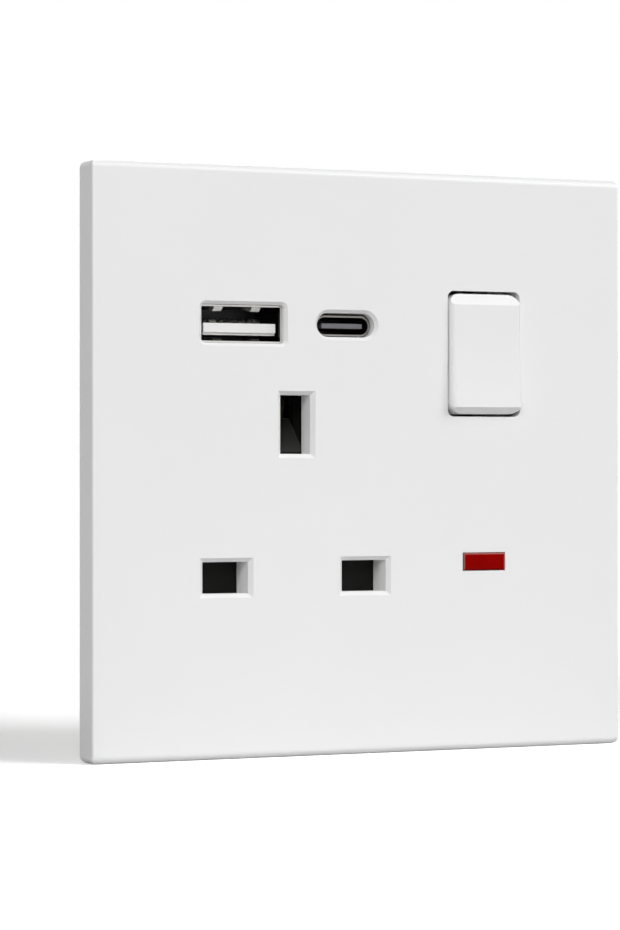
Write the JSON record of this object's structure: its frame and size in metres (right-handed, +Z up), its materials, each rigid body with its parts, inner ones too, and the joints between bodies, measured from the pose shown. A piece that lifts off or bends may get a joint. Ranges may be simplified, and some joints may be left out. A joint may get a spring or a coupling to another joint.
{
  "type": "usb wall socket",
  "caption": "Square flush wall socket outlet for three flat pins, with a rocker switch, an indicator window and a wide and a narrow charging port.",
  "frame": {"origin": "centre of the plate in the plane of the wall, which is the back of the inner frame", "axes": "X to the right as seen from the front, Y into the wall, Z up"},
  "size_m": [0.086, 0.033, 0.086],
  "materials": {
    "cover_white": "smooth semi-gloss moulding",
    "frame_white": "matt moulding",
    "base_white": "matt moulding with fine spark texture",
    "deck_dark": "matt dark moulding",
    "shutter_black": "matt black moulding",
    "spring_steel": "drawn wire",
    "contact_brass": "stamped sheet",
    "terminal_brass": "machined block",
    "screw_steel": "zinc plated",
    "rocker_white": "smooth semi-gloss moulding",
    "lens_red": "dark red clear moulding",
    "lamp_glass": "clear glass",
    "resistor_coat": "baked coating",
    "port_steel": "plated sheet",
    "tongue_white": "moulded insert",
    "tongue_grey": "moulded insert",
    "contact_gold": "plated",
    "board_green": "coated laminate",
    "ferrite": "pressed ferrite",
    "coil_tape": "wound and taped",
    "capacitor_sleeve": "sleeved can",
    "lead_sheath": "insulated wire"
  },
  "bodies": {
    "socket_body": {"cover_plate": "cover_white", "mounting_frame": "frame_white", "rear_base": "base_white", "contact_cover": "deck_dark", "shutter_spring": "spring_steel", "earth_contact": "contact_brass", "neutral_contact": "contact_brass", "live_contact": "contact_brass", "line_bar": "contact_brass", "earth_terminal": "terminal_brass", "neutral_terminal": "terminal_brass", "live_terminal": "terminal_brass", "terminal_screws": "screw_steel", "neon_lens": "lens_red", "neon_lamp": "lamp_glass", "neon_resistor": "resistor_coat", "usb_a_shell": "port_steel", "usb_a_tongue": "tongue_white", "usb_a_contacts": "contact_gold", "usb_c_shell": "port_steel", "usb_c_tongue": "tongue_grey", "usb_c_contacts": "contact_gold", "usb_board": "board_green", "transformer_core": "ferrite", "transformer_coil": "coil_tape", "input_capacitor": "capacitor_sleeve", "output_capacitor": "capacitor_sleeve", "board_leads": "lead_sheath", "case_screws": "screw_steel"},
    "rocker": {"rocker": "rocker_white", "rocker_plunger": "tongue_white", "plunger_spring": "spring_steel"},
    "contact_arm": {"contact_arm": "contact_brass"},
    "shutter": {"shutter": "shutter_black"}
  },
  "joints": [
    {"name": "rocker_tilt", "type": "hinge", "parent": "socket_body", "child": "rocker", "pos_m": [0.01975, -0.001, 0.0162], "axis": [1, 0, 0], "range_deg": [0, 5]},
    {"name": "contact_arm_tilt", "type": "hinge", "parent": "socket_body", "child": "contact_arm", "pos_m": [0.01975, 0.0132, 0.0162], "axis": [1, 0, 0], "range_deg": [-12, 0]},
    {"name": "shutter_slide", "type": "slide", "parent": "socket_body", "child": "shutter", "axis": [0, 0, -1], "range_m": [0, 0.0054], "stiffness_N_per_m": 150, "springref_m": -0.004, "deforming": ["shutter_spring"]}
  ],
  "couplings": [
    {"joint": "contact_arm_tilt", "follows": "rocker_tilt", "ratio": -2.4}
  ]
}
